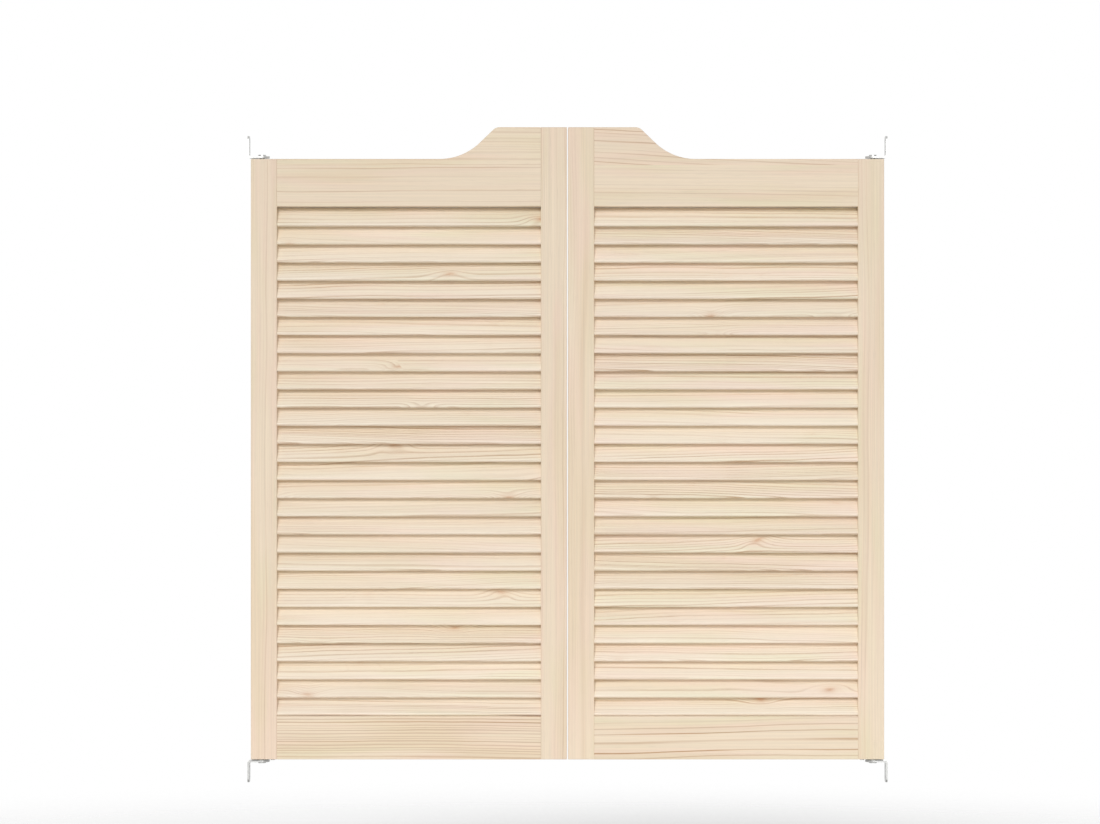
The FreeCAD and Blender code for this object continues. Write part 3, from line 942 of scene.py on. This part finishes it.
class DressStiles(bpy.types.Operator):
    """Gives each stile its own upright board of pine"""

    bl_idname = "cafe_doors.stiles"
    bl_label = "Stiles"

    def execute(self, context):
        pine = context.scene.cafe_doors.pine
        for side in SIDES:
            for part in STILES:
                node = f"{side}_{part}"
                dress(node, board_material(node, True, pine))
        return {"FINISHED"}


class DressRails(bpy.types.Operator):
    """Gives each rail and crest board its own level board of pine"""

    bl_idname = "cafe_doors.rails"
    bl_label = "Rails"

    def execute(self, context):
        pine = context.scene.cafe_doors.pine
        for side in SIDES:
            for part in RAILS:
                node = f"{side}_{part}"
                dress(node, board_material(node, False, pine))
        return {"FINISHED"}


class BuildSlats(bpy.types.Operator):
    """Builds the tilted slats with smooth noses, each sawn from its own place in the wood"""

    bl_idname = "cafe_doors.slats"
    bl_label = "Slats"

    def execute(self, context):
        settings = context.scene.cafe_doors
        material = slat_material(settings.pine)
        for side in SIDES:
            places = slat_places(side)
            for first in PAIRS:
                node = pair_node(side, first)
                name = node.replace("slats", "louvres")
                pair = places[first - 1 : first + 1]
                seeds = (SLAT_SEEDS[side] + first, SLAT_SEEDS[side] + first + 1)
                piece = build_slats(name, settings.slats, pair, seeds, material)
                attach(piece, f"{side}_leaf")
                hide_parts(node)
        return {"FINISHED"}


class BuildSprings(bpy.types.Operator):
    """Builds the coil springs, which twist between the leaf and the foot spindle"""

    bl_idname = "cafe_doors.springs"
    bl_label = "Springs"

    def execute(self, context):
        settings = context.scene.cafe_doors
        spring = settings.spring
        material = worn_material(
            "oiled_spring",
            tuple(settings.metal.spring),
            scale=1200.0,
            metallic=1.0,
            roughness=0.32,
            change=0.08,
            dark=0.4,
            attribute="rest",
        )
        for side, hand in (("left", 1), ("right", -1)):
            node = f"{side}_pivot_spring"
            low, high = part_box(node)
            pin_low, pin_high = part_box(f"{side}_foot_spindle")
            axis_x = (pin_low.x + pin_high.x) / 2
            name = f"{side}_coil_spring"
            piece = build_spring(name, spring, low.z, high.z, axis_x, hand, material)
            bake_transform(piece)
            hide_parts(node)
        return {"FINISHED"}


class DressPivots(bpy.types.Operator):
    """Finishes the brackets, pins, sleeves, screws, bushes and washers"""

    bl_idname = "cafe_doors.pivots"
    bl_label = "Pivots"

    def execute(self, context):
        metal = context.scene.cafe_doors.metal
        zinc = worn_material(
            "zinc_plate",
            tuple(metal.zinc),
            scale=900.0,
            metallic=1.0,
            roughness=0.38,
            change=0.10,
            dark=0.25,
        )
        nylon = worn_material(
            "moulded_nylon",
            tuple(metal.nylon),
            scale=700.0,
            metallic=0.0,
            roughness=0.48,
            change=0.06,
            dark=0.08,
        )
        for side in SIDES:
            for part in STEEL_PARTS:
                dress(f"{side}_{part}", zinc)
            for part in NYLON_PARTS:
                dress(f"{side}_{part}", nylon)
        return {"FINISHED"}


class SetStage(bpy.types.Operator):
    """Adds the floor, the lights, the white surround and the camera"""

    bl_idname = "cafe_doors.stage"
    bl_label = "Stage"

    def execute(self, context):
        settings = context.scene.cafe_doors.stage
        context.scene.view_settings.view_transform = "Standard"
        near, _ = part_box("left_hinge_stile")
        _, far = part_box("right_hinge_stile")
        centre_x = (near.x + far.x) / 2
        add_camera(settings, centre_x, near.z, near.y)
        add_floor(settings, centre_x, near.z)
        middle = Vector((centre_x, 0, (near.z + far.z) / 2))
        for name, (kind, mirror) in LIGHTS.items():
            x, y, z = getattr(settings, f"{kind}_place")
            strength = getattr(settings, f"{kind}_level")
            spread = getattr(settings, f"{kind}_spread")
            add_light(name, middle, (x * mirror, y, z), strength, spread)
        light_world(settings.world_level)
        return {"FINISHED"}


class DoorPanel(bpy.types.Panel):
    """Lists the steps that dress the doors"""

    bl_idname = "VIEW3D_PT_cafe_doors"
    bl_label = "Cafe doors"
    bl_space_type = "VIEW_3D"
    bl_region_type = "UI"
    bl_category = "Cafe doors"

    def draw(self, context):
        for step in STEPS:
            self.layout.operator(step.bl_idname)


SETTINGS = (PineSettings, SlatSettings, SpringSettings, MetalSettings, StageSettings, DoorSettings)
STEPS = (DressStiles, DressRails, BuildSlats, BuildSprings, DressPivots, SetStage)
CLASSES = (*SETTINGS, *STEPS, DoorPanel)


def register():
    for item in CLASSES:
        bpy.utils.register_class(item)
    bpy.types.Scene.cafe_doors = PointerProperty(type=DoorSettings)


def unregister():
    del bpy.types.Scene.cafe_doors
    for item in reversed(CLASSES):
        bpy.utils.unregister_class(item)


def main():
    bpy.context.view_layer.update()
    register()
    bpy.ops.cafe_doors.stiles()
    bpy.ops.cafe_doors.rails()
    bpy.ops.cafe_doors.slats()
    bpy.ops.cafe_doors.springs()
    bpy.ops.cafe_doors.pivots()
    bpy.ops.cafe_doors.stage()


if __name__ == "__main__":
    main()
